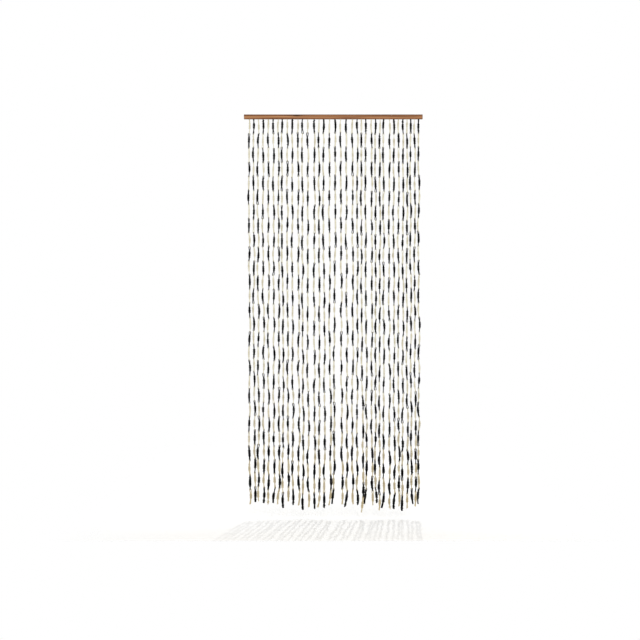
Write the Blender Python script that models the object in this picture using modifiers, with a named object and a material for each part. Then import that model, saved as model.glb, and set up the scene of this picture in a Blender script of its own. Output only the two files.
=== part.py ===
"""Knotted door curtain: a wooden batten whose grooved underside holds a heading strip, with 36 knotted strands.

Metres, +Z up. The front looks along -Y, +X is the viewer's right, and the origin is the middle of the batten's
top face. Each strand is a chain of short knotted links, thick at every knot and drawn in at every join, and the
links change from cream to black all the way down.
"""

import math
import random

import bmesh
import bpy
from mathutils import Vector

# The batten, and the groove along its underside
BAR_LENGTH = 0.900
BAR_DEPTH = 0.015
BAR_HEIGHT = 0.0224
BAR_ROUNDING = 0.0012
GROOVE_LENGTH = 0.878
GROOVE_WIDTH = 0.0070
GROOVE_DEPTH = 0.0040

# The heading strip lies in the groove, clear of its walls
CLEARANCE = 0.0003
STRIP_THICKNESS = 0.0022
STRIP_MIDDLE = -BAR_HEIGHT + GROOVE_DEPTH - CLEARANCE - STRIP_THICKNESS / 2

# A strand's radii at its root, its knots, its joins and its tip
ROOT_RADIUS = 0.0027
KNOT_RADIUS = 0.0060
JOIN_RADIUS = 0.0038
TIP_RADIUS = 0.0040
STRAND_SIDES = 3

# How unevenly the links are tied, and how far a strand strays from its plumb line at the batten and at its foot
LINKS = 27
SEED = 360
LENGTH_SPREAD = 0.045
WANDER_TOP = 0.0024
WANDER_FOOT = 0.0036
DRIFT_KEEP = 0.50
BOW_SHARE = 1.2
DEPTH_SHARE = 0.6
DEPTH_STEP = 0.0022
LEAN_POWER = 1.4
LANE_MARGIN = 0.0062

MM = 0.001
WELD_DISTANCE = 1e-6

# One row for each strand, left to right, in millimetres:
# hang, its place from the batten's middle; lean, how far its last join hangs aside of that; swing, how far its
# last link swings aside of its last join; drop, its length.
STRANDS = (
    (-423, 1, 0, 1935),
    (-401, 6, 0, 1925),
    (-378, -1, 1, 1920),
    (-355, 6, -2, 1930),
    (-327, 0, 0, 1935),
    (-303, 6, -10, 1930),
    (-276, 4, -9, 1935),
    (-258, 5, 0, 1955),
    (-233, 5, -1, 1920),
    (-207, 5, 1, 1940),
    (-179, 9, -4, 1940),
    (-156, 6, 0, 1965),
    (-129, 4, 0, 1950),
    (-97, 5, 2, 1960),
    (-72, 2, -7, 1950),
    (-49, 5, 0, 1955),
    (-19, 5, -9, 1940),
    (8, -3, -8, 1935),
    (36, 10, 0, 1935),
    (65, 7, -12, 1950),
    (96, 1, 0, 1935),
    (121, 0, 4, 1940),
    (141, 8, -7, 1975),
    (163, 6, -10, 1935),
    (192, 5, 0, 1940),
    (213, -1, 7, 1930),
    (235, 0, -4, 1965),
    (254, -1, -10, 1955),
    (282, 3, 0, 1960),
    (304, 7, -7, 1960),
    (329, 2, 0, 1945),
    (351, 0, -2, 1970),
    (371, 3, 0, 1955),
    (390, 4, 7, 1935),
    (410, 3, -1, 1945),
    (430, 3, -5, 1935),
)


def clear_scene():
    """Removes every object that the scene opens with."""
    for obj in list(bpy.data.objects):
        bpy.data.objects.remove(obj)


def new_collection(name):
    """A collection under the scene's own."""
    collection = bpy.data.collections.new(name)
    bpy.context.scene.collection.children.link(collection)
    return collection


def new_material(name, colour, roughness):
    """A Principled material that isn't metallic."""
    material = bpy.data.materials.new(name)
    material.use_nodes = True
    shader = material.node_tree.nodes["Principled BSDF"]
    shader.inputs["Base Color"].default_value = (*colour, 1.0)
    shader.inputs["Roughness"].default_value = roughness
    shader.inputs["Metallic"].default_value = 0.0
    return material


def move_to(collection, obj):
    """Puts the object in this collection and in no other."""
    for owner in list(obj.users_collection):
        owner.objects.unlink(obj)
    collection.objects.link(obj)


def make_box(name, size, centre, collection):
    """A box of the given size, with its scale applied."""
    bpy.ops.mesh.primitive_cube_add(size=1.0, location=centre)
    box = bpy.context.object
    box.name = name
    box.scale = size
    bpy.ops.object.transform_apply(location=False, rotation=False, scale=True)
    move_to(collection, box)
    return box


def mark_helper(obj):
    """Shows the object as a wire only, because it shapes another one."""
    obj.hide_render = True
    obj.display_type = "WIRE"


def make_bar(parts, cutters, wood):
    """The batten, with soft edges and a groove for the heading strip."""
    centre = (0.0, 0.0, -BAR_HEIGHT / 2)
    bar = make_box("bar", (BAR_LENGTH, BAR_DEPTH, BAR_HEIGHT), centre, parts)
    bar.data.materials.append(wood)
    rounding = bar.modifiers.new("soft edges", "BEVEL")
    rounding.width = BAR_ROUNDING
    rounding.segments = 3

    groove_size = (GROOVE_LENGTH, GROOVE_WIDTH, 2 * GROOVE_DEPTH)
    groove = make_box("groove", groove_size, (0.0, 0.0, -BAR_HEIGHT), cutters)
    mark_helper(groove)
    cut = bar.modifiers.new("groove", "BOOLEAN")
    cut.operation = "DIFFERENCE"
    cut.object = groove
    return bar


def join_heights(drop, rng):
    """The heights of a strand's joins, from the batten's underside to its tip, for links that differ a little."""
    lengths = [1 + rng.uniform(-LENGTH_SPREAD, LENGTH_SPREAD) for _ in range(LINKS)]
    heights = [-BAR_HEIGHT]
    for length in lengths:
        heights.append(heights[-1] - drop * length / sum(lengths))
    return heights


def wander_at(join):
    """How far a strand may stray at one join, more towards its foot."""
    return WANDER_TOP + (WANDER_FOOT - WANDER_TOP) * join / LINKS


def plumb_x(strand, place):
    """Where a strand would hang after so many links if it didn't stray."""
    hang, lean, swing, _ = STRANDS[strand]
    whole = min(place, LINKS - 1)
    return (hang + lean * (whole / LINKS) ** LEAN_POWER + swing * (place - whole)) * MM


def in_lane(strand, place, x):
    """The given place, kept clear of the lanes of the strands on both sides."""
    middle = plumb_x(strand, place)
    low = high = x
    if strand:
        low = min(middle, (middle + plumb_x(strand - 1, place)) / 2 + LANE_MARGIN)
    if strand < len(STRANDS) - 1:
        high = max(middle, (middle + plumb_x(strand + 1, place)) / 2 - LANE_MARGIN)
    return min(max(x, low), high)


def joins_and_knots(strand):
    """A strand's centres from its root to its tip: join, knot, join, knot and so on, and last its tip."""
    rng = random.Random(SEED + strand)
    heights = join_heights(STRANDS[strand][3] * MM, rng)
    depth_side = DEPTH_STEP if strand % 2 else -DEPTH_STEP
    stray_x = 0.0
    stray_y = 0.0
    joins = []
    for join, height in enumerate(heights):
        if 0 < join < LINKS:
            wander = wander_at(join)
            stray_x = DRIFT_KEEP * stray_x + rng.uniform(-wander, wander)
            stray_y = DRIFT_KEEP * stray_y + rng.uniform(-wander, wander) * DEPTH_SHARE
        x = in_lane(strand, join, plumb_x(strand, join) + stray_x)
        y = depth_side * min(1.0, join / 2) + stray_y
        joins.append(Vector((x, y, height)))
    points = [joins[0]]
    for join, (upper, lower) in enumerate(zip(joins, joins[1:])):
        knot = (upper + lower) / 2
        bow = rng.uniform(-1.0, 1.0) * wander_at(join) * BOW_SHARE
        knot.x = in_lane(strand, join + 0.5, knot.x + bow)
        points += [knot, lower]
    return points


def make_profile(cutters):
    """The strand's cross-section, a regular polygon of radius 1 that each strand's curve sweeps."""
    curve = bpy.data.curves.new("strand_profile", "CURVE")
    curve.dimensions = "2D"
    spline = curve.splines.new("POLY")
    spline.points.add(STRAND_SIDES - 1)
    for side, point in enumerate(spline.points):
        angle = 2 * math.pi * side / STRAND_SIDES
        point.co = (math.cos(angle), math.sin(angle), 0.0, 1.0)
    spline.use_cyclic_u = True
    profile = bpy.data.objects.new("strand_profile", curve)
    cutters.objects.link(profile)
    mark_helper(profile)
    return profile


def strand_curve(points, strand, profile):
    """One strand as a swept curve, from inside the heading strip down to its tip."""
    radii = [KNOT_RADIUS if place % 2 else JOIN_RADIUS for place in range(len(points))]
    radii[0] = ROOT_RADIUS
    radii[-1] = TIP_RADIUS
    root = Vector((points[0].x, points[0].y, STRIP_MIDDLE))

    curve = bpy.data.curves.new(f"strand_{strand:02d}", "CURVE")
    curve.dimensions = "3D"
    curve.bevel_mode = "OBJECT"
    curve.bevel_object = profile
    curve.use_fill_caps = True
    spline = curve.splines.new("POLY")
    spline.points.add(len(points) - 1)
    for place, (centre, radius) in enumerate(zip([root] + points[1:], radii)):
        spline.points[place].co = (*centre, 1.0)
        spline.points[place].radius = radius
    return curve


def is_black(strand, link):
    """The links alternate in colour down each strand, and from one strand to the next."""
    return (strand + link) % 2 == 1


def add_strand(bundle, strand, profile, cutters):
    """Adds one strand's closed mesh to the bundle, each link in its own colour."""
    points = joins_and_knots(strand)
    curve_object = bpy.data.objects.new(f"strand_{strand:02d}", strand_curve(points, strand, profile))
    cutters.objects.link(curve_object)
    bpy.context.view_layer.update()
    graph = bpy.context.evaluated_depsgraph_get()
    mesh = bpy.data.meshes.new_from_object(curve_object.evaluated_get(graph))
    lower_joins = [point.z for point in points[2::2]]
    for face in mesh.polygons:
        link = sum(face.center.z < height for height in lower_joins)
        face.material_index = int(is_black(strand, min(link, LINKS - 1)))
    bundle.from_mesh(mesh)
    bpy.data.meshes.remove(mesh)
    bpy.data.objects.remove(curve_object)


def make_strands(parts, cutters, cream, black):
    """The heading strip with all the strands growing from its underside, as one solid."""
    profile = make_profile(cutters)
    bundle = bmesh.new()
    for strand in range(len(STRANDS)):
        add_strand(bundle, strand, profile, cutters)
    bmesh.ops.remove_doubles(bundle, verts=bundle.verts, dist=WELD_DISTANCE)
    bmesh.ops.recalc_face_normals(bundle, faces=bundle.faces)
    mesh = bpy.data.meshes.new("strand_bundle")
    bundle.to_mesh(mesh)
    bundle.free()
    bundle_object = bpy.data.objects.new("strand_bundle", mesh)
    cutters.objects.link(bundle_object)
    mark_helper(bundle_object)

    strip_size = (
        GROOVE_LENGTH - 2 * CLEARANCE,
        GROOVE_WIDTH - 2 * CLEARANCE,
        STRIP_THICKNESS,
    )
    strands = make_box("strands", strip_size, (0.0, 0.0, STRIP_MIDDLE), parts)
    for owner in (strands, bundle_object):
        owner.data.materials.append(cream)
        owner.data.materials.append(black)
    union = strands.modifiers.new("strands", "BOOLEAN")
    union.operation = "UNION"
    union.object = bundle_object
    return strands


def main():
    clear_scene()
    parts = new_collection("knotted_door_curtain")
    cutters = new_collection("cutters")
    wood = new_material("oiled_wood", (0.40, 0.19, 0.085), 0.55)
    cream = new_material("cream_yarn", (0.76, 0.71, 0.59), 0.9)
    black = new_material("black_yarn", (0.012, 0.011, 0.011), 0.9)
    make_bar(parts, cutters, wood)
    make_strands(parts, cutters, cream, black)


main()
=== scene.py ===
"""The look of a knotted door curtain: an oiled wooden bar with 36 strands of looped and knotted cord.

Metres, +Z up, front along -Y. Each strand is a chain of cord links in cream and black by turns. A link is
one loop of cord, drawn together by a wrapped knot in its middle, and its two eyes run through the eyes of
the links above and below.
"""

import math
import random
from collections import namedtuple

import bmesh
import bpy
import numpy as np
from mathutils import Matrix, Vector

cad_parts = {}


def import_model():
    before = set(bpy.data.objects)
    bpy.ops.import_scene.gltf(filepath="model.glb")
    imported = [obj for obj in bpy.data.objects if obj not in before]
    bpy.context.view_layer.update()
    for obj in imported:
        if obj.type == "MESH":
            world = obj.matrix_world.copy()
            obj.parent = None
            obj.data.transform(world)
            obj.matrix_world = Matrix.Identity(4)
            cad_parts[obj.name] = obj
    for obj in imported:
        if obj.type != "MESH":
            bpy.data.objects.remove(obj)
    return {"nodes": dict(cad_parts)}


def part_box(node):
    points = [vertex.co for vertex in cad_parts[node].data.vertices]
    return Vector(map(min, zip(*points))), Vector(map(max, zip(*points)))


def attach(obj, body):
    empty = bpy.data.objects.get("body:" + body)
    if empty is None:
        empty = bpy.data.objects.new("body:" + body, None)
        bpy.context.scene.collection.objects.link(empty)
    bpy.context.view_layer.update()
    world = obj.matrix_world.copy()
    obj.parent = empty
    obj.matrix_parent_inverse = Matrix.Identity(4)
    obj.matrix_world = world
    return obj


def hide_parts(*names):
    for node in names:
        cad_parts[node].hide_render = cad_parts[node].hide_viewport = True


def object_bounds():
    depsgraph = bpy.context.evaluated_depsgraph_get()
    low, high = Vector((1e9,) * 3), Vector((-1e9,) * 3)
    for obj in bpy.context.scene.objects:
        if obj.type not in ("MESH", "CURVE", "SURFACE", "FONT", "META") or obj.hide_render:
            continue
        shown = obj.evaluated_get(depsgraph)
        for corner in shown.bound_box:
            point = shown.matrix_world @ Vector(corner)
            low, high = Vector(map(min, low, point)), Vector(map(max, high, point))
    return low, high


MM = 0.001

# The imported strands: the links in each, the least drop from one ring of corners to the next, how near two
# corners count as one, and the most that a root's corners lie above the bar's underside and to its side
LINKS = 27
RING_GAP = 12 * MM
SAME_PLACE = 0.01 * MM
ROOT_HEIGHT = 1.6 * MM
ROOT_REACH = 9 * MM

# The two yarns. cord is the cord's radius; bend, its radius where it is pulled tight over a bend; neck, how
# far a link's two legs run from its middle; wrap, how far the knot's turns run from it
Yarn = namedtuple("Yarn", "cord bend neck wrap")
YARNS = {
    "cream": Yarn(cord=1.85 * MM, bend=1.65 * MM, neck=1.6 * MM, wrap=3.2 * MM),
    "black": Yarn(cord=2.35 * MM, bend=2.05 * MM, neck=2.1 * MM, wrap=3.7 * MM),
}

# The corners round a cord, and a slant that no cord starts along, from which its cross-section is turned
CORD_SIDES = 6
SLANT = (0.31, 0.85, 0.42)

# The links get fuller from this one down, over so many links, each yarn by its own share
FULL_FROM = 19
FULL_OVER = 6
FOOT_FULLNESS = {"cream": 0.28, "black": 0.20}

# How far each strand's tip is moved forward or back of its solid, so that full links pass their neighbours
FOOT_DEPTH = 1.9 * MM

# The cord's plies, the length of one ply's turn past the next, and the wave texture's length at a scale of 1
PLIES = 3
PLY_LENGTH = 3.6 * MM
WAVE_LENGTH = 2 * math.pi / 10

# A stop of a colour ramp
Tone = namedtuple("Tone", "place colour")

# The two cords' tones, and their gloss and sheen
CordLook = namedtuple("CordLook", "tones gloss sheen")
CORD_LOOKS = {
    "cream": CordLook(
        tones=(
            Tone(0.50, (0.62, 0.56, 0.38)),
            Tone(0.78, (0.89, 0.84, 0.64)),
            Tone(1.0, (0.96, 0.93, 0.79)),
        ),
        gloss=0.2,
        sheen=0.2,
    ),
    "black": CordLook(
        tones=(
            Tone(0.50, (0.002, 0.002, 0.002)),
            Tone(0.78, (0.003, 0.003, 0.004)),
            Tone(1.0, (0.009, 0.008, 0.012)),
        ),
        gloss=0.06,
        sheen=0.008,
    ),
}

# The scales of the cord's slow patches and fine fibres, how much the fibres change its tone, how much painted
# shade darkens the grooves between the plies, and their relief
PATCH_SCALE = 26.0
FIBRE_SCALE = 1500.0
FIBRE_TONE = 0.35
PLY_GROOVE_SHADE = 0.22
FIBRE_DEPTH = 0.3 * MM
PLY_DEPTH = 0.6 * MM

# Painted shade: between these heights the cream darkens towards the tips, where less light falls, by this tint
FOOT_FROM = -1.30
FOOT_TO = -1.98
FOOT_SHADE_TINT = (0.71, 0.62, 0.49)

# The two kinds of loop at a link's ends, with the ranges of their sizes, and the share of the taut ones
Loop = namedtuple("Loop", "half_width length bend_steps")
TAUT_EYE = Loop(half_width=(2.8 * MM, 3.3 * MM), length=(10 * MM, 13 * MM), bend_steps=3)
SLACK_RING = Loop(half_width=(3.1 * MM, 4.5 * MM), length=(17 * MM, 21 * MM), bend_steps=4)
EYE_SHARE = 0.72

# Where a loop is still open and where it is half closed, as shares of its straight sides, and how wide it
# still is at the first, as a share of its width
LOOP_OPEN_AT = 0.35
LOOP_OPEN_WIDTH = 0.95
LOOP_CLOSING_AT = 0.72

# How far a link's legs run from its middle inside the knot, the stations between its loops, and how far its
# lower loop strays from a right angle to the next link's upper one
CORE_HALF_WIDTH = 1.4 * MM
MID_STATIONS = 3
PLANE_SPREAD = 0.5

# The wrapped knot in the middle of each link: its length, where its middle lies, how many cords are wound
# side by side, the length of one turn, the steps in it, and how thick the cord is in it
KNOT_LENGTH = (30 * MM, 42 * MM)
KNOT_MIDDLE = (0.42, 0.58)
WRAP_STARTS = 2
WRAP_LENGTH = 16.5 * MM
WRAP_STEPS_PER_TURN = 10
WRAP_FULLNESS = 1.08

# Over this share of its length at each end, a knot's cord comes out from near the middle and thickens
WRAP_END_SHARE = 0.12
WRAP_END_REACH = 0.35
WRAP_END_THICKNESS = 0.6

# The fullest place of a knot: how far it stands out, where it lies and how far it spreads
KNOB_EXTRA = (0.0 * MM, 1.2 * MM)
KNOB_PLACE = (0.25, 0.75)
KNOB_SPREAD = 0.2

# A second, short knot beside an eye, on some links and at the thick tips
SHORT_KNOT_SHARE = 0.22
SHORT_KNOT_LENGTH = 10 * MM
SHORT_KNOT_TURNS = 1.4

# The top link's legs: how far they reach up into the heading tape, where they settle below it, and their
# share of the neck's width in it
ROOT_RISE = 1.5 * MM
ROOT_NECK = 5 * MM
ROOT_WIDTH = 0.9

# How the strands end, by their number from the left: where a thick tip's knot ends on its link, how far the
# ends of a flared one stand apart, and how far all of them reach below the solid
KNOBBED_TIPS = (2, 4, 5, 8, 10, 12, 16, 20, 22, 26, 29, 30, 32)
KNOBBED_TIP_END = 0.97
FLARED_TIPS = (33, 35)
TIP_FLARE = 3.6 * MM
TIP_REACH = 6 * MM

# The two free ends at a tip, from the end up: the height above it, and the shares of the neck's width, of
# the flare and of the cord's radius there
TipStep = namedtuple("TipStep", "height neck flare cord")
TIP_STEPS = (
    TipStep(height=0 * MM, neck=0.9, flare=1.0, cord=0.6),
    TipStep(height=1.2 * MM, neck=1.0, flare=0.9, cord=0.95),
    TipStep(height=6 * MM, neck=1.0, flare=0.4, cord=1.0),
    TipStep(height=18 * MM, neck=1.0, flare=0.0, cord=1.0),
)

# The woven heading tape in the bar's groove: its length, width and thickness, its rounding and its weave
TAPE_SIZE = (877.4 * MM, 6.4 * MM, 2.2 * MM)
TAPE_ROUNDING = 0.4 * MM
THREADS_PER_METRE = 1400.0
THREAD_DEPTH = 0.3 * MM
THREAD_LIGHT = (0.58, 0.53, 0.42, 1.0)
THREAD_DARK = (0.42, 0.38, 0.29, 1.0)

# The wood's grain, drawn out along the bar: its scale, its tones and its relief
GRAIN_SCALE = (3.0, 190.0, 190.0)
GRAIN_TONES = (
    Tone(0.32, (0.17, 0.067, 0.025)),
    Tone(0.46, (0.37, 0.163, 0.065)),
    Tone(0.58, (0.50, 0.240, 0.103)),
    Tone(0.72, (0.65, 0.350, 0.170)),
)
GRAIN_DEPTH = 0.6 * MM

# Painted shade on the wood's upper and lower edges: the line below its top where it is lightest, how far from
# it the painted shade starts and is darkest, and its tint
WOOD_LIGHT_LINE = 13 * MM
WOOD_DARK_FROM = 3 * MM
WOOD_DARK_TO = 9.9 * MM
WOOD_EDGE_SHADE_TINT = (0.50, 0.40, 0.34)

# Painted shade on the bar's rounded ends: where the wood turns darker towards its two ends, and by what tint
WOOD_END_FROM = 447 * MM
WOOD_END_TO = 450 * MM
WOOD_END_SHADE_TINT = (0.55, 0.56, 0.60)

# The wood's one small knot: its place, size and colour, and how fast it fades outwards
WOOD_KNOT = (-184 * MM, -7.5 * MM, -5 * MM)
WOOD_KNOT_SIZE = (34 * MM, 12 * MM, 9 * MM)
WOOD_KNOT_COLOUR = (0.020, 0.006, 0.001, 1.0)
WOOD_KNOT_FADE = 1.3

# How many strands share a piece, and the seed of the leftmost strand's random draws
STRANDS_PER_PIECE = 6
SEED = 411

# The camera, level with the curtain's middle and straight in front
CAMERA_DISTANCE = 5.0
PHOTO_WIDTH = 640
BAR_WIDTH_IN_PHOTO = 178.8
BAR_MIDDLE_IN_PHOTO = 333.3
BAR_TOP_IN_PHOTO = 114.4
SENSOR = 36.0

# The floor: how far it lies below the tips, its width, how far it runs in front of and behind the curtain,
# how soft its front edge is, and its tones from under the curtain forward, a painted shadow of the curtain
FLOOR_DROP = 36 * MM
FLOOR_WIDTH = 2.6
FLOOR_FRONT = -0.53
FLOOR_BACK = 3.0
FLOOR_EDGE = 0.03
FLOOR_SHADOW_TONES = (
    Tone(0.0, (0.955, 0.955, 0.95)),
    Tone(0.40, (0.93, 0.925, 0.915)),
    Tone(0.75, (0.88, 0.87, 0.845)),
)

# The studio's white light. Each glow changes from low to high between two places on an axis, and they add
# up: more light behind the curtain than in front, then the ceiling, then the floor's bounce
Glow = namedtuple("Glow", "axis start end low high")
GLOWS = (
    Glow(axis="Y", start=-0.5, end=0.5, low=0.60, high=0.95),
    Glow(axis="Z", start=0.4, end=1.0, low=0.0, high=0.58),
    Glow(axis="Z", start=-0.2, end=-1.0, low=0.0, high=0.4),
)

# The lights: a small strong one behind on the right, and a broad fill in front, near the bar's height
AreaLight = namedtuple("AreaLight", "name place aim size energy")
LIGHTS = (
    AreaLight(name="back_light", place=(0.8, 5.2, 3.0), aim=(0.0, 0.0, -1.4), size=0.12, energy=130),
    AreaLight(name="front_fill", place=(0.4, -3.2, -0.1), aim=(0.0, 0.0, -0.9), size=1.8, energy=47),
)

# A place down a link: its share of the link's length, how far the cord runs from the middle, on which side,
# and the cord's radius
Station = namedtuple("Station", "share width angle radius")


def new_material(name):
    """A Principled material: its nodes, links and shader."""
    material = bpy.data.materials.new(name)
    material.use_nodes = True
    tree = material.node_tree
    return material, tree.nodes, tree.links, tree.nodes["Principled BSDF"]


def add_node(nodes, kind, **values):
    """A shader node with some of its inputs or properties set by name."""
    node = nodes.new(kind)
    for name, value in values.items():
        label = name.replace("_", " ")
        if label in node.inputs:
            node.inputs[label].default_value = value
        else:
            setattr(node, name, value)
    return node


def colour_ramp(nodes, tones):
    """A colour ramp with these tones."""
    ramp = nodes.new("ShaderNodeValToRGB")
    elements = ramp.color_ramp.elements
    while len(elements) < len(tones):
        elements.new(0.5)
    for element, tone in zip(elements, tones):
        element.position = tone.place
        element.color = (*tone.colour, 1.0)
    return ramp


def tinted(nodes, links, colour, tint, share):
    """The colour multiplied by the tint, as far as the share goes."""
    mix = add_node(nodes, "ShaderNodeMix", data_type="RGBA", blend_type="MULTIPLY")
    mix.inputs["B"].default_value = (*tint, 1.0)
    links.new(share, mix.inputs["Factor"])
    links.new(colour, mix.inputs["A"])
    return mix.outputs["Result"]


def cord_material(colour):
    """Soft plied cord: slanting plies from the UV map with painted shade in their grooves, fine fibres, and
    slow changes of tone downwards.
    """
    look = CORD_LOOKS[colour]
    material, nodes, links, shader = new_material(f"{colour}_cord")
    shader.inputs["Roughness"].default_value = 0.88
    shader.inputs["Specular IOR Level"].default_value = look.gloss
    shader.inputs["Sheen Weight"].default_value = look.sheen
    shader.inputs["Sheen Roughness"].default_value = 0.5

    place = nodes.new("ShaderNodeTexCoord")
    patches = add_node(nodes, "ShaderNodeTexNoise", Scale=PATCH_SCALE, Detail=2.0)
    links.new(place.outputs["Object"], patches.inputs["Vector"])
    fibres = add_node(nodes, "ShaderNodeTexNoise", Scale=FIBRE_SCALE, Detail=2.0)
    links.new(place.outputs["Object"], fibres.inputs["Vector"])
    plies = add_node(nodes, "ShaderNodeTexWave", Scale=1.0, Distortion=0.5, Detail=1.0, Detail_Scale=2.0)
    plies.bands_direction = "DIAGONAL"
    links.new(place.outputs["UV"], plies.inputs["Vector"])

    fibre_tone = add_node(nodes, "ShaderNodeMath", operation="MULTIPLY_ADD")
    fibre_tone.inputs[1].default_value = FIBRE_TONE
    links.new(fibres.outputs["Fac"], fibre_tone.inputs[0])
    links.new(patches.outputs["Fac"], fibre_tone.inputs[2])
    # painted shade: the ply wave darkens the grooves between the plies
    ply_tone = add_node(nodes, "ShaderNodeMath", operation="MULTIPLY_ADD")
    ply_tone.inputs[1].default_value = PLY_GROOVE_SHADE
    links.new(plies.outputs["Fac"], ply_tone.inputs[0])
    links.new(fibre_tone.outputs["Value"], ply_tone.inputs[2])
    tone = colour_ramp(nodes, look.tones)
    links.new(ply_tone.outputs["Value"], tone.inputs["Fac"])
    links.new(tone.outputs["Color"], shader.inputs["Base Color"])

    bump = add_node(nodes, "ShaderNodeBump", Strength=0.7, Distance=PLY_DEPTH)
    links.new(plies.outputs["Fac"], bump.inputs["Height"])
    fuzz = add_node(nodes, "ShaderNodeBump", Strength=0.35, Distance=FIBRE_DEPTH)
    links.new(fibres.outputs["Fac"], fuzz.inputs["Height"])
    links.new(bump.outputs["Normal"], fuzz.inputs["Normal"])
    links.new(fuzz.outputs["Normal"], shader.inputs["Normal"])
    return material


def shade_foot(material):
    """Painted shade: multiplies a material's colour by the foot's shade tint, more and more over the curtain's
    lowest third.
    """
    nodes = material.node_tree.nodes
    links = material.node_tree.links
    colour = nodes["Principled BSDF"].inputs["Base Color"]
    plain = colour.links[0].from_socket
    place = nodes.new("ShaderNodeTexCoord")
    parts = nodes.new("ShaderNodeSeparateXYZ")
    links.new(place.outputs["Object"], parts.inputs["Vector"])
    # painted shade: the cream darkens down to the tips
    height = add_node(nodes, "ShaderNodeMapRange", From_Min=FOOT_FROM, From_Max=FOOT_TO)
    links.new(parts.outputs["Z"], height.inputs["Value"])
    links.new(tinted(nodes, links, plain, FOOT_SHADE_TINT, height.outputs["Result"]), colour)


def tape_material():
    """Woven cotton tape: a fine plain weave in natural cream."""
    material, nodes, links, shader = new_material("cotton_tape")
    shader.inputs["Roughness"].default_value = 0.9
    shader.inputs["Specular IOR Level"].default_value = 0.2
    place = nodes.new("ShaderNodeTexCoord")
    threads = add_node(nodes, "ShaderNodeTexChecker", Scale=THREADS_PER_METRE)
    threads.inputs["Color1"].default_value = THREAD_LIGHT
    threads.inputs["Color2"].default_value = THREAD_DARK
    links.new(place.outputs["Object"], threads.inputs["Vector"])
    links.new(threads.outputs["Color"], shader.inputs["Base Color"])
    bump = add_node(nodes, "ShaderNodeBump", Strength=0.4, Distance=THREAD_DEPTH)
    links.new(threads.outputs["Fac"], bump.inputs["Height"])
    links.new(bump.outputs["Normal"], shader.inputs["Normal"])
    return material


def wood_material():
    """Oiled softwood with a straight grain along the bar, painted shade towards its edges and its ends, and
    one small knot.
    """
    material, nodes, links, shader = new_material("oiled_wood_grain")
    shader.inputs["Roughness"].default_value = 0.55
    shader.inputs["Specular IOR Level"].default_value = 0.2

    place = nodes.new("ShaderNodeTexCoord")
    along = add_node(nodes, "ShaderNodeMapping", Scale=GRAIN_SCALE)
    links.new(place.outputs["Object"], along.inputs["Vector"])
    grain = add_node(nodes, "ShaderNodeTexNoise", Scale=1.0, Detail=4.0, Roughness=0.6, Distortion=0.3)
    links.new(along.outputs["Vector"], grain.inputs["Vector"])
    tone = colour_ramp(nodes, GRAIN_TONES)
    links.new(grain.outputs["Fac"], tone.inputs["Fac"])

    parts = nodes.new("ShaderNodeSeparateXYZ")
    links.new(place.outputs["Object"], parts.inputs["Vector"])
    from_line = add_node(nodes, "ShaderNodeMath", operation="ADD")
    from_line.inputs[1].default_value = WOOD_LIGHT_LINE
    links.new(parts.outputs["Z"], from_line.inputs[0])
    to_edge = add_node(nodes, "ShaderNodeMath", operation="ABSOLUTE")
    links.new(from_line.outputs["Value"], to_edge.inputs[0])
    # painted shade towards the wood's upper and lower edges
    edges = add_node(nodes, "ShaderNodeMapRange", From_Min=WOOD_DARK_FROM, From_Max=WOOD_DARK_TO)
    links.new(to_edge.outputs["Value"], edges.inputs["Value"])
    edge_shaded = tinted(nodes, links, tone.outputs["Color"], WOOD_EDGE_SHADE_TINT, edges.outputs["Result"])

    from_side = add_node(nodes, "ShaderNodeMath", operation="ABSOLUTE")
    links.new(parts.outputs["X"], from_side.inputs[0])
    # painted shade on the bar's rounded ends
    near_end = add_node(nodes, "ShaderNodeMapRange", From_Min=WOOD_END_FROM, From_Max=WOOD_END_TO)
    links.new(from_side.outputs["Value"], near_end.inputs["Value"])
    end_shaded = tinted(nodes, links, edge_shaded, WOOD_END_SHADE_TINT, near_end.outputs["Result"])

    spot = add_node(nodes, "ShaderNodeMapping", vector_type="TEXTURE", Location=WOOD_KNOT)
    spot.inputs["Scale"].default_value = WOOD_KNOT_SIZE
    links.new(place.outputs["Object"], spot.inputs["Vector"])
    round_spot = add_node(nodes, "ShaderNodeTexGradient", gradient_type="SPHERICAL")
    links.new(spot.outputs["Vector"], round_spot.inputs["Vector"])
    in_spot = add_node(nodes, "ShaderNodeMath", operation="POWER", use_clamp=True)
    in_spot.inputs[1].default_value = WOOD_KNOT_FADE
    links.new(round_spot.outputs["Fac"], in_spot.inputs[0])
    spotted = add_node(nodes, "ShaderNodeMix", data_type="RGBA")
    spotted.inputs["B"].default_value = WOOD_KNOT_COLOUR
    links.new(in_spot.outputs["Value"], spotted.inputs["Factor"])
    links.new(end_shaded, spotted.inputs["A"])
    links.new(spotted.outputs["Result"], shader.inputs["Base Color"])

    bump = add_node(nodes, "ShaderNodeBump", Strength=0.25, Distance=GRAIN_DEPTH)
    links.new(grain.outputs["Fac"], bump.inputs["Height"])
    links.new(bump.outputs["Normal"], shader.inputs["Normal"])
    return material


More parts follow.
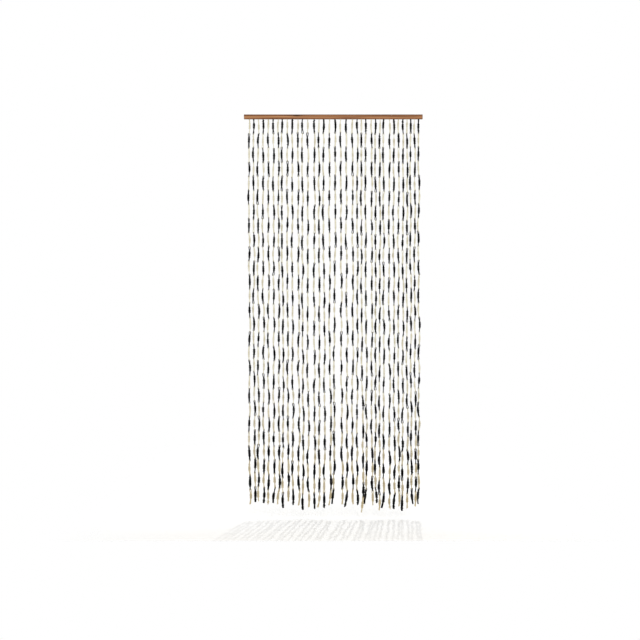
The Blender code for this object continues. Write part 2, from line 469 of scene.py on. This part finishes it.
def floor_material():
    """A matt white floor, a little darker in front with a painted shadow of the curtain, that fades out into
    the white of the studio.
    """
    material, nodes, links, shader = new_material("pale_floor")
    shader.inputs["Roughness"].default_value = 0.85
    place = nodes.new("ShaderNodeTexCoord")
    parts = nodes.new("ShaderNodeSeparateXYZ")
    links.new(place.outputs["Object"], parts.inputs["Vector"])
    # painted shadow: the floor darkens towards its front edge
    forward = add_node(nodes, "ShaderNodeMapRange", From_Min=0.0, From_Max=FLOOR_FRONT)
    links.new(parts.outputs["Y"], forward.inputs["Value"])
    tone = colour_ramp(nodes, FLOOR_SHADOW_TONES)
    links.new(forward.outputs["Result"], tone.inputs["Fac"])
    links.new(tone.outputs["Color"], shader.inputs["Base Color"])

    front = add_node(nodes, "ShaderNodeMapRange", From_Min=FLOOR_FRONT, From_Max=FLOOR_FRONT + FLOOR_EDGE)
    links.new(parts.outputs["Y"], front.inputs["Value"])
    from_middle = add_node(nodes, "ShaderNodeMath", operation="ABSOLUTE")
    links.new(parts.outputs["X"], from_middle.inputs[0])
    sides = add_node(nodes, "ShaderNodeMapRange", From_Min=FLOOR_WIDTH / 2, From_Max=FLOOR_WIDTH / 4)
    links.new(from_middle.outputs["Value"], sides.inputs["Value"])
    back = add_node(nodes, "ShaderNodeMapRange", From_Min=FLOOR_BACK, From_Max=FLOOR_BACK / 2)
    links.new(parts.outputs["Y"], back.inputs["Value"])
    across = add_node(nodes, "ShaderNodeMath", operation="MULTIPLY")
    links.new(front.outputs["Result"], across.inputs[0])
    links.new(sides.outputs["Result"], across.inputs[1])
    whole = add_node(nodes, "ShaderNodeMath", operation="MULTIPLY")
    links.new(across.outputs["Value"], whole.inputs[0])
    links.new(back.outputs["Result"], whole.inputs[1])
    links.new(whole.outputs["Value"], shader.inputs["Alpha"])
    return material


def strand_centres(node, underside):
    """Each strand's centre line, left to right, as points from the bar's underside to the tip.

    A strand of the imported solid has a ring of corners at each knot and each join. The rings' middles are its
    centre line, and the corners where it meets the heading tape give its root.
    """
    form = bmesh.new()
    form.from_mesh(node.data)
    bmesh.ops.remove_doubles(form, verts=form.verts, dist=SAME_PLACE)
    roots = [corner.co.copy() for corner in form.verts if 0 < corner.co.z - underside < ROOT_HEIGHT]
    above = [corner for corner in form.verts if corner.co.z > underside]
    bmesh.ops.delete(form, geom=above, context="VERTS")

    strands = []
    seen = set()
    for start in form.verts:
        if start in seen:
            continue
        island = [start]
        seen.add(start)
        for corner in island:
            for edge in corner.link_edges:
                other = edge.other_vert(corner)
                if other not in seen:
                    seen.add(other)
                    island.append(other)
        strands.append(ring_middles([corner.co.copy() for corner in island], roots, underside))
    form.free()
    return sorted(strands, key=lambda line: line[0].x)


def ring_middles(corners, roots, underside):
    """The middles of one strand's rings, top first, after its root on the bar's underside."""
    corners.sort(key=lambda corner: -corner.z)
    rings = [[corners[0]]]
    for corner in corners[1:]:
        if rings[-1][0].z - corner.z > RING_GAP:
            rings.append([])
        rings[-1].append(corner)
    line = [sum(ring, Vector()) / len(ring) for ring in rings]
    near = [root for root in roots if abs(root.x - line[0].x) < ROOT_REACH]
    root = sum(near, Vector()) / len(near)
    return [Vector((root.x, root.y, underside))] + line


def eased_apart(line, strand):
    """A strand's centre line, moved forward or back by turns, more towards its tip."""
    side = 1 if strand % 2 else -1
    step = Vector((0.0, side * FOOT_DEPTH / (len(line) - 1), 0.0))
    return [point + step * place for place, point in enumerate(line)]


class Cords:
    """Tubes of cord gathered into one mesh, with a UV map that runs along and round each one."""

    def __init__(self):
        self.points = []
        self.faces = []
        self.uvs = []
        self.count = 0

    def add(self, path, radius, closed):
        """Sweeps the cord's cross-section along the path, turning it as little as it can."""
        path = np.asarray(path)
        steps = len(path)
        if closed:
            tangents = np.roll(path, -1, axis=0) - np.roll(path, 1, axis=0)
        else:
            tangents = np.gradient(path, axis=0)
        tangents /= np.linalg.norm(tangents, axis=1)[:, None]
        sides = np.empty_like(path)
        side = np.cross(tangents[0], SLANT)
        for step, tangent in enumerate(tangents):
            side = side - tangent * side.dot(tangent)
            side /= np.linalg.norm(side)
            sides[step] = side
        others = np.cross(tangents, sides)
        turn = math.atan2(sides[-1].dot(others[0]), sides[-1].dot(sides[0])) if closed else 0.0
        angles = 2 * math.pi * np.arange(CORD_SIDES)[None, :] / CORD_SIDES
        angles = angles - turn * np.arange(steps)[:, None] / steps
        radii = np.broadcast_to(radius, (steps,))[:, None, None]
        ring = (
            sides[:, None, :] * np.cos(angles)[:, :, None]
            + others[:, None, :] * np.sin(angles)[:, :, None]
        )
        self.points.append((path[:, None, :] + ring * radii).reshape(-1, 3))

        lengths = np.linalg.norm(np.diff(path, axis=0, append=path[:1]), axis=1)
        along = np.concatenate([[0.0], np.cumsum(lengths)]) * WAVE_LENGTH / PLY_LENGTH
        round_step = WAVE_LENGTH * PLIES / CORD_SIDES
        for step in range(steps if closed else steps - 1):
            after = (step + 1) % steps
            for side_number in range(CORD_SIDES):
                next_side = (side_number + 1) % CORD_SIDES
                self.faces.append((
                    self.count + step * CORD_SIDES + side_number,
                    self.count + step * CORD_SIDES + next_side,
                    self.count + after * CORD_SIDES + next_side,
                    self.count + after * CORD_SIDES + side_number,
                ))
                left = side_number * round_step
                right = left + round_step
                self.uvs += [
                    (along[step], left),
                    (along[step], right),
                    (along[step + 1], right),
                    (along[step + 1], left),
                ]
        if not closed:
            first = range(self.count, self.count + CORD_SIDES)
            last = range(self.count + (steps - 1) * CORD_SIDES, self.count + steps * CORD_SIDES)
            for cap in (tuple(reversed(first)), tuple(last)):
                self.faces.append(cap)
                self.uvs += [(0.0, 0.0)] * CORD_SIDES
        self.count += steps * CORD_SIDES

    def piece(self, name, material):
        """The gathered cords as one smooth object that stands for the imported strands."""
        mesh = bpy.data.meshes.new(name)
        mesh.from_pydata(np.concatenate(self.points).tolist(), [], self.faces)
        uv_map = mesh.uv_layers.new(name="along_cord")
        uv_map.data.foreach_set("uv", np.asarray(self.uvs, dtype=np.float32).ravel())
        mesh.materials.append(material)
        mesh.shade_smooth()
        cords = bpy.data.objects.new(name, mesh)
        bpy.context.scene.collection.objects.link(cords)
        return cords


def smooth(share):
    """An even step from 0 to 1."""
    share = min(max(share, 0.0), 1.0)
    return share * share * (3 - 2 * share)


class Link:
    """One link of a strand: where its cord runs from its top join, through its knot, to its bottom join."""

    def __init__(self, line, yarn, rng):
        self.top, self.knot, self.bottom = line
        self.yarn = yarn
        self.length = (self.top - self.bottom).length
        axis = (self.bottom - self.top).normalized()
        self.across = axis.cross(Vector((0.0, 1.0, 0.0))).normalized()
        self.ahead = axis.cross(self.across)
        self.rng = rng

    def point(self, share, reach, angle):
        """A point reach away from the link's bent centre line, on the side that the angle gives."""
        bend = self.knot * 2 - (self.top + self.bottom) / 2
        centre = self.top * (1 - share) ** 2 + bend * 2 * share * (1 - share) + self.bottom * share**2
        return centre + (self.across * math.cos(angle) + self.ahead * math.sin(angle)) * reach

    def loop_end(self, angle):
        """The stations of one end's loop, from its far end to its neck, and the share at which it ends."""
        yarn = self.yarn
        loop = TAUT_EYE if self.rng.random() < EYE_SHARE else SLACK_RING
        width = self.rng.uniform(*loop.half_width)
        length = self.rng.uniform(*loop.length)
        rest = length - width
        stations = []
        for step in range(loop.bend_steps + 1):
            turn = math.pi / 2 * step / loop.bend_steps
            distance = width * (1 - math.cos(turn))
            stations.append(Station(distance, width * math.sin(turn), angle, yarn.bend))
        half_closed = (width + yarn.neck) / 2
        thick = (yarn.bend + yarn.cord) / 2
        stations.append(Station(width + rest * LOOP_OPEN_AT, width * LOOP_OPEN_WIDTH, angle, yarn.bend))
        stations.append(Station(width + rest * LOOP_CLOSING_AT, half_closed, angle, thick))
        stations.append(Station(length, yarn.neck, angle, yarn.cord))
        stations = [place._replace(share=(place.share - yarn.bend) / self.length) for place in stations]
        return stations, stations[-1].share

    def wrap(self, cords, start, end, angle, turns, starts, knob):
        """A knot wrapped round the link between two shares of its length."""
        thick = self.yarn.cord * WRAP_FULLNESS
        knob_place = self.rng.uniform(*KNOB_PLACE)
        steps = round(abs(turns) * WRAP_STEPS_PER_TURN) + 1
        for number in range(starts):
            path = []
            radii = []
            for step in range(steps + 1):
                share = step / steps
                ends = smooth(share / WRAP_END_SHARE) * smooth((1 - share) / WRAP_END_SHARE)
                out = self.yarn.wrap * (WRAP_END_REACH + (1 - WRAP_END_REACH) * ends)
                out += knob * math.exp(-(((share - knob_place) / KNOB_SPREAD) ** 2)) * ends
                here = angle + 2 * math.pi * (turns * share + number / starts)
                path.append(self.point(start + (end - start) * share, out, here))
                radii.append(thick * (WRAP_END_THICKNESS + (1 - WRAP_END_THICKNESS) * ends))
            cords.add(path, radii, False)


def legs_of(link, stations):
    """The two sides of a link's cord, from its top to its bottom."""
    right = [link.point(station.share, station.width, station.angle) for station in stations]
    left = [link.point(station.share, station.width, station.angle + math.pi) for station in stations]
    return right, left


def root_stations(link, angle):
    """The stations of the top link's two legs, which come straight out of the heading tape."""
    neck = ROOT_NECK / link.length
    return [
        Station(-ROOT_RISE / link.length, link.yarn.neck * ROOT_WIDTH, angle, link.yarn.bend),
        Station(neck, link.yarn.neck, angle, link.yarn.cord),
    ], neck


def tip_stations(link, angle, flare):
    """The stations of the bottom link's two legs, which end side by side."""
    yarn = link.yarn
    stations = []
    for step in TIP_STEPS:
        share = (step.height - TIP_REACH) / link.length
        width = yarn.neck * step.neck + flare * step.flare
        stations.append(Station(share, width, angle, yarn.cord * step.cord))
    return stations, stations[-1].share


def add_link(cords, link, angles, place, tip):
    """One link's cord and its knots. Its place is first, middle or last, and tip is how a last one ends."""
    rng = link.rng
    if place == "first":
        top, top_reach = root_stations(link, angles[0])
    else:
        top, top_reach = link.loop_end(angles[0])
    if place == "last":
        low, low_reach = tip_stations(link, angles[1], TIP_FLARE if tip == "flared" else 0.0)
    else:
        low, low_reach = link.loop_end(angles[1])

    knot_share = rng.uniform(*KNOT_LENGTH) / link.length
    middle = rng.uniform(*KNOT_MIDDLE)
    knot_start = max(middle - knot_share / 2, top_reach)
    knot_end = min(middle + knot_share / 2, 1 - low_reach)

    twist = (angles[1] - angles[0] + math.pi / 2) % math.pi - math.pi / 2
    twist += math.pi * rng.choice((-1, 0, 0, 1))
    between = []
    for step in range(1, MID_STATIONS + 1):
        part = step / (MID_STATIONS + 1)
        share = top_reach + (1 - low_reach - top_reach) * part
        inside = knot_start < share < knot_end
        width = CORE_HALF_WIDTH if inside else link.yarn.neck
        between.append(Station(share, width, angles[0] + twist * part, link.yarn.cord))
    turned = angles[0] + twist
    low = [station._replace(share=1 - station.share, angle=turned) for station in reversed(low)]
    stations = top + between + low
    right, left = legs_of(link, stations)
    radii = [station.radius for station in stations]
    if place == "first":
        cords.add(right + left[-2::-1], radii + radii[-2::-1], False)
    elif place == "last":
        cords.add(left[::-1] + right[1:], radii[::-1] + radii[1:], False)
    else:
        cords.add(right + left[-2:0:-1], radii + radii[-2:0:-1], True)

    hand = rng.choice((-1, 1))
    turns = hand * (knot_end - knot_start) * link.length / WRAP_LENGTH
    angle = rng.uniform(0, math.pi)
    link.wrap(cords, knot_start, knot_end, angle, turns, WRAP_STARTS, rng.uniform(*KNOB_EXTRA))
    short = SHORT_KNOT_LENGTH / link.length
    if tip == "knobbed":
        start = KNOBBED_TIP_END - short
        link.wrap(cords, start, KNOBBED_TIP_END, angle, hand * SHORT_KNOT_TURNS, 1, 0.0)
    elif rng.random() < SHORT_KNOT_SHARE:
        if rng.random() < 0.5:
            start = (top_reach + knot_start - short) / 2
        else:
            start = (1 - low_reach + knot_end - short) / 2
        link.wrap(cords, start, start + short, angle, hand * SHORT_KNOT_TURNS, 1, 0.0)


def yarn_at(colour, number):
    """The yarn of the link with this number from the top."""
    fullness = 1 + FOOT_FULLNESS[colour] * smooth((number - FULL_FROM) / FULL_OVER)
    return Yarn(*(size * fullness for size in YARNS[colour]))


def tip_kind(strand):
    """How the strand with this number from the left ends."""
    if strand in KNOBBED_TIPS:
        return "knobbed"
    if strand in FLARED_TIPS:
        return "flared"
    return "plain"


def add_strand(gathered, line, strand):
    """One strand's links from the top down, each added to the cords of its colour."""
    rng = random.Random(SEED + strand)
    angle = rng.uniform(0, math.pi)
    for number in range(LINKS):
        angle_below = rng.uniform(0, math.pi)
        colour = "black" if (strand + number) % 2 else "cream"
        link = Link(line[2 * number:2 * number + 3], yarn_at(colour, number), rng)
        place = {0: "first", LINKS - 1: "last"}.get(number, "middle")
        tip = tip_kind(strand + 1) if place == "last" else ""
        add_link(gathered[colour], link, (angle, angle_below), place, tip)
        angle = angle_below + math.pi / 2 + rng.uniform(-PLANE_SPREAD, PLANE_SPREAD)


def make_strands(frame):
    """All the links of all the strands, in pieces of one colour and a few strands each."""
    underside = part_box("bar")[0][2]
    lines = strand_centres(frame["nodes"]["strands"], underside)
    materials = {"cream": cord_material("cream"), "black": cord_material("black")}
    # painted shade on the cream towards the tips
    shade_foot(materials["cream"])
    for first in range(0, len(lines), STRANDS_PER_PIECE):
        gathered = {"cream": Cords(), "black": Cords()}
        for strand in range(first, min(first + STRANDS_PER_PIECE, len(lines))):
            add_strand(gathered, eased_apart(lines[strand], strand), strand)
        group = first // STRANDS_PER_PIECE + 1
        for colour, cords in gathered.items():
            piece = cords.piece(f"{colour}_links_{group}", materials[colour])
            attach(piece, "root")
            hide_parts("strands")


def make_tape():
    """The heading tape in the bar's groove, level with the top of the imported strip."""
    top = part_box("strands")[1][2]
    length, width, thickness = TAPE_SIZE
    form = bmesh.new()
    bmesh.ops.create_cube(form, size=1.0)
    for corner in form.verts:
        x, y, z = corner.co
        corner.co = (x * length, y * width, z * thickness + top - thickness / 2)
    bmesh.ops.bevel(form, geom=form.edges[:], offset=TAPE_ROUNDING, segments=2, affect="EDGES")
    mesh = bpy.data.meshes.new("heading_tape")
    form.to_mesh(mesh)
    form.free()
    mesh.materials.append(tape_material())
    tape = bpy.data.objects.new("heading_tape", mesh)
    bpy.context.scene.collection.objects.link(tape)
    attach(tape, "root")
    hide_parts("strands")


def make_camera():
    """A level camera straight in front, framed so that the bar falls where it does in the photograph."""
    bar_low, bar_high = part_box("bar")
    metres_per_pixel = (bar_high[0] - bar_low[0]) / BAR_WIDTH_IN_PHOTO
    data = bpy.data.cameras.new("camera")
    data.sensor_width = SENSOR
    data.lens = SENSOR * CAMERA_DISTANCE / (PHOTO_WIDTH * metres_per_pixel)
    camera = bpy.data.objects.new("camera", data)
    bpy.context.scene.collection.objects.link(camera)
    middle = PHOTO_WIDTH / 2
    x = (bar_low[0] + bar_high[0]) / 2 - (BAR_MIDDLE_IN_PHOTO - middle) * metres_per_pixel
    z = bar_high[2] - (middle - BAR_TOP_IN_PHOTO) * metres_per_pixel
    camera.location = (x, bar_low[1] - CAMERA_DISTANCE, z)
    camera.rotation_euler = (math.pi / 2, 0.0, 0.0)
    bpy.context.scene.camera = camera


def make_stage(box):
    """A pale floor under the curtain, with its origin below the bar's middle."""
    height = box[0][2] - FLOOR_DROP
    side = FLOOR_WIDTH / 2
    mesh = bpy.data.meshes.new("floor")
    front = [(-side, FLOOR_FRONT, 0.0), (side, FLOOR_FRONT, 0.0)]
    back = [(side, FLOOR_BACK, 0.0), (-side, FLOOR_BACK, 0.0)]
    mesh.from_pydata(front + back, [], [(0, 1, 2, 3)])
    mesh.materials.append(floor_material())
    floor = bpy.data.objects.new("floor", mesh)
    floor.location.z = height
    bpy.context.scene.collection.objects.link(floor)


def make_world():
    """A white studio: the camera sees plain white, and the curtain is lit by the sum of the glows."""
    world = bpy.data.worlds.new("studio")
    bpy.context.scene.world = world
    world.use_nodes = True
    nodes = world.node_tree.nodes
    links = world.node_tree.links
    seen = nodes["Background"]
    seen.inputs["Color"].default_value = (1.0, 1.0, 1.0, 1.0)

    place = nodes.new("ShaderNodeTexCoord")
    parts = nodes.new("ShaderNodeSeparateXYZ")
    links.new(place.outputs["Generated"], parts.inputs["Vector"])
    lighting = nodes.new("ShaderNodeBackground")
    strength = None
    for glow in GLOWS:
        part = add_node(nodes, "ShaderNodeMapRange", From_Min=glow.start, From_Max=glow.end)
        part.inputs["To Min"].default_value = glow.low
        part.inputs["To Max"].default_value = glow.high
        links.new(parts.outputs[glow.axis], part.inputs["Value"])
        if strength is None:
            strength = part.outputs["Result"]
            continue
        both = add_node(nodes, "ShaderNodeMath", operation="ADD")
        links.new(strength, both.inputs[0])
        links.new(part.outputs["Result"], both.inputs[1])
        strength = both.outputs["Value"]
    links.new(strength, lighting.inputs["Strength"])

    rays = nodes.new("ShaderNodeLightPath")
    mix = nodes.new("ShaderNodeMixShader")
    links.new(rays.outputs["Is Camera Ray"], mix.inputs["Fac"])
    links.new(lighting.outputs["Background"], mix.inputs[1])
    links.new(seen.outputs["Background"], mix.inputs[2])
    links.new(mix.outputs["Shader"], nodes["World Output"].inputs["Surface"])


def make_lights():
    """The studio and its square lights, each turned to the place that it aims at."""
    bpy.context.scene.view_settings.view_transform = "Standard"
    make_world()
    for row in LIGHTS:
        data = bpy.data.lights.new(row.name, "AREA")
        data.energy = row.energy
        data.size = row.size
        light = bpy.data.objects.new(row.name, data)
        bpy.context.scene.collection.objects.link(light)
        light.location = row.place
        direction = Vector(row.aim) - light.location
        light.rotation_euler = direction.to_track_quat("-Z", "Y").to_euler()


def main():
    """Dresses the frame's solids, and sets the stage."""
    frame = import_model()
    cad_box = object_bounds()
    make_camera()
    make_strands(frame)
    make_tape()
    bar = frame["nodes"]["bar"]
    wood = wood_material()
    if bar.data.materials:
        for slot in bar.material_slots:
            slot.material = wood
    else:
        bar.data.materials.append(wood)
    make_stage(cad_box)
    make_lights()


main()
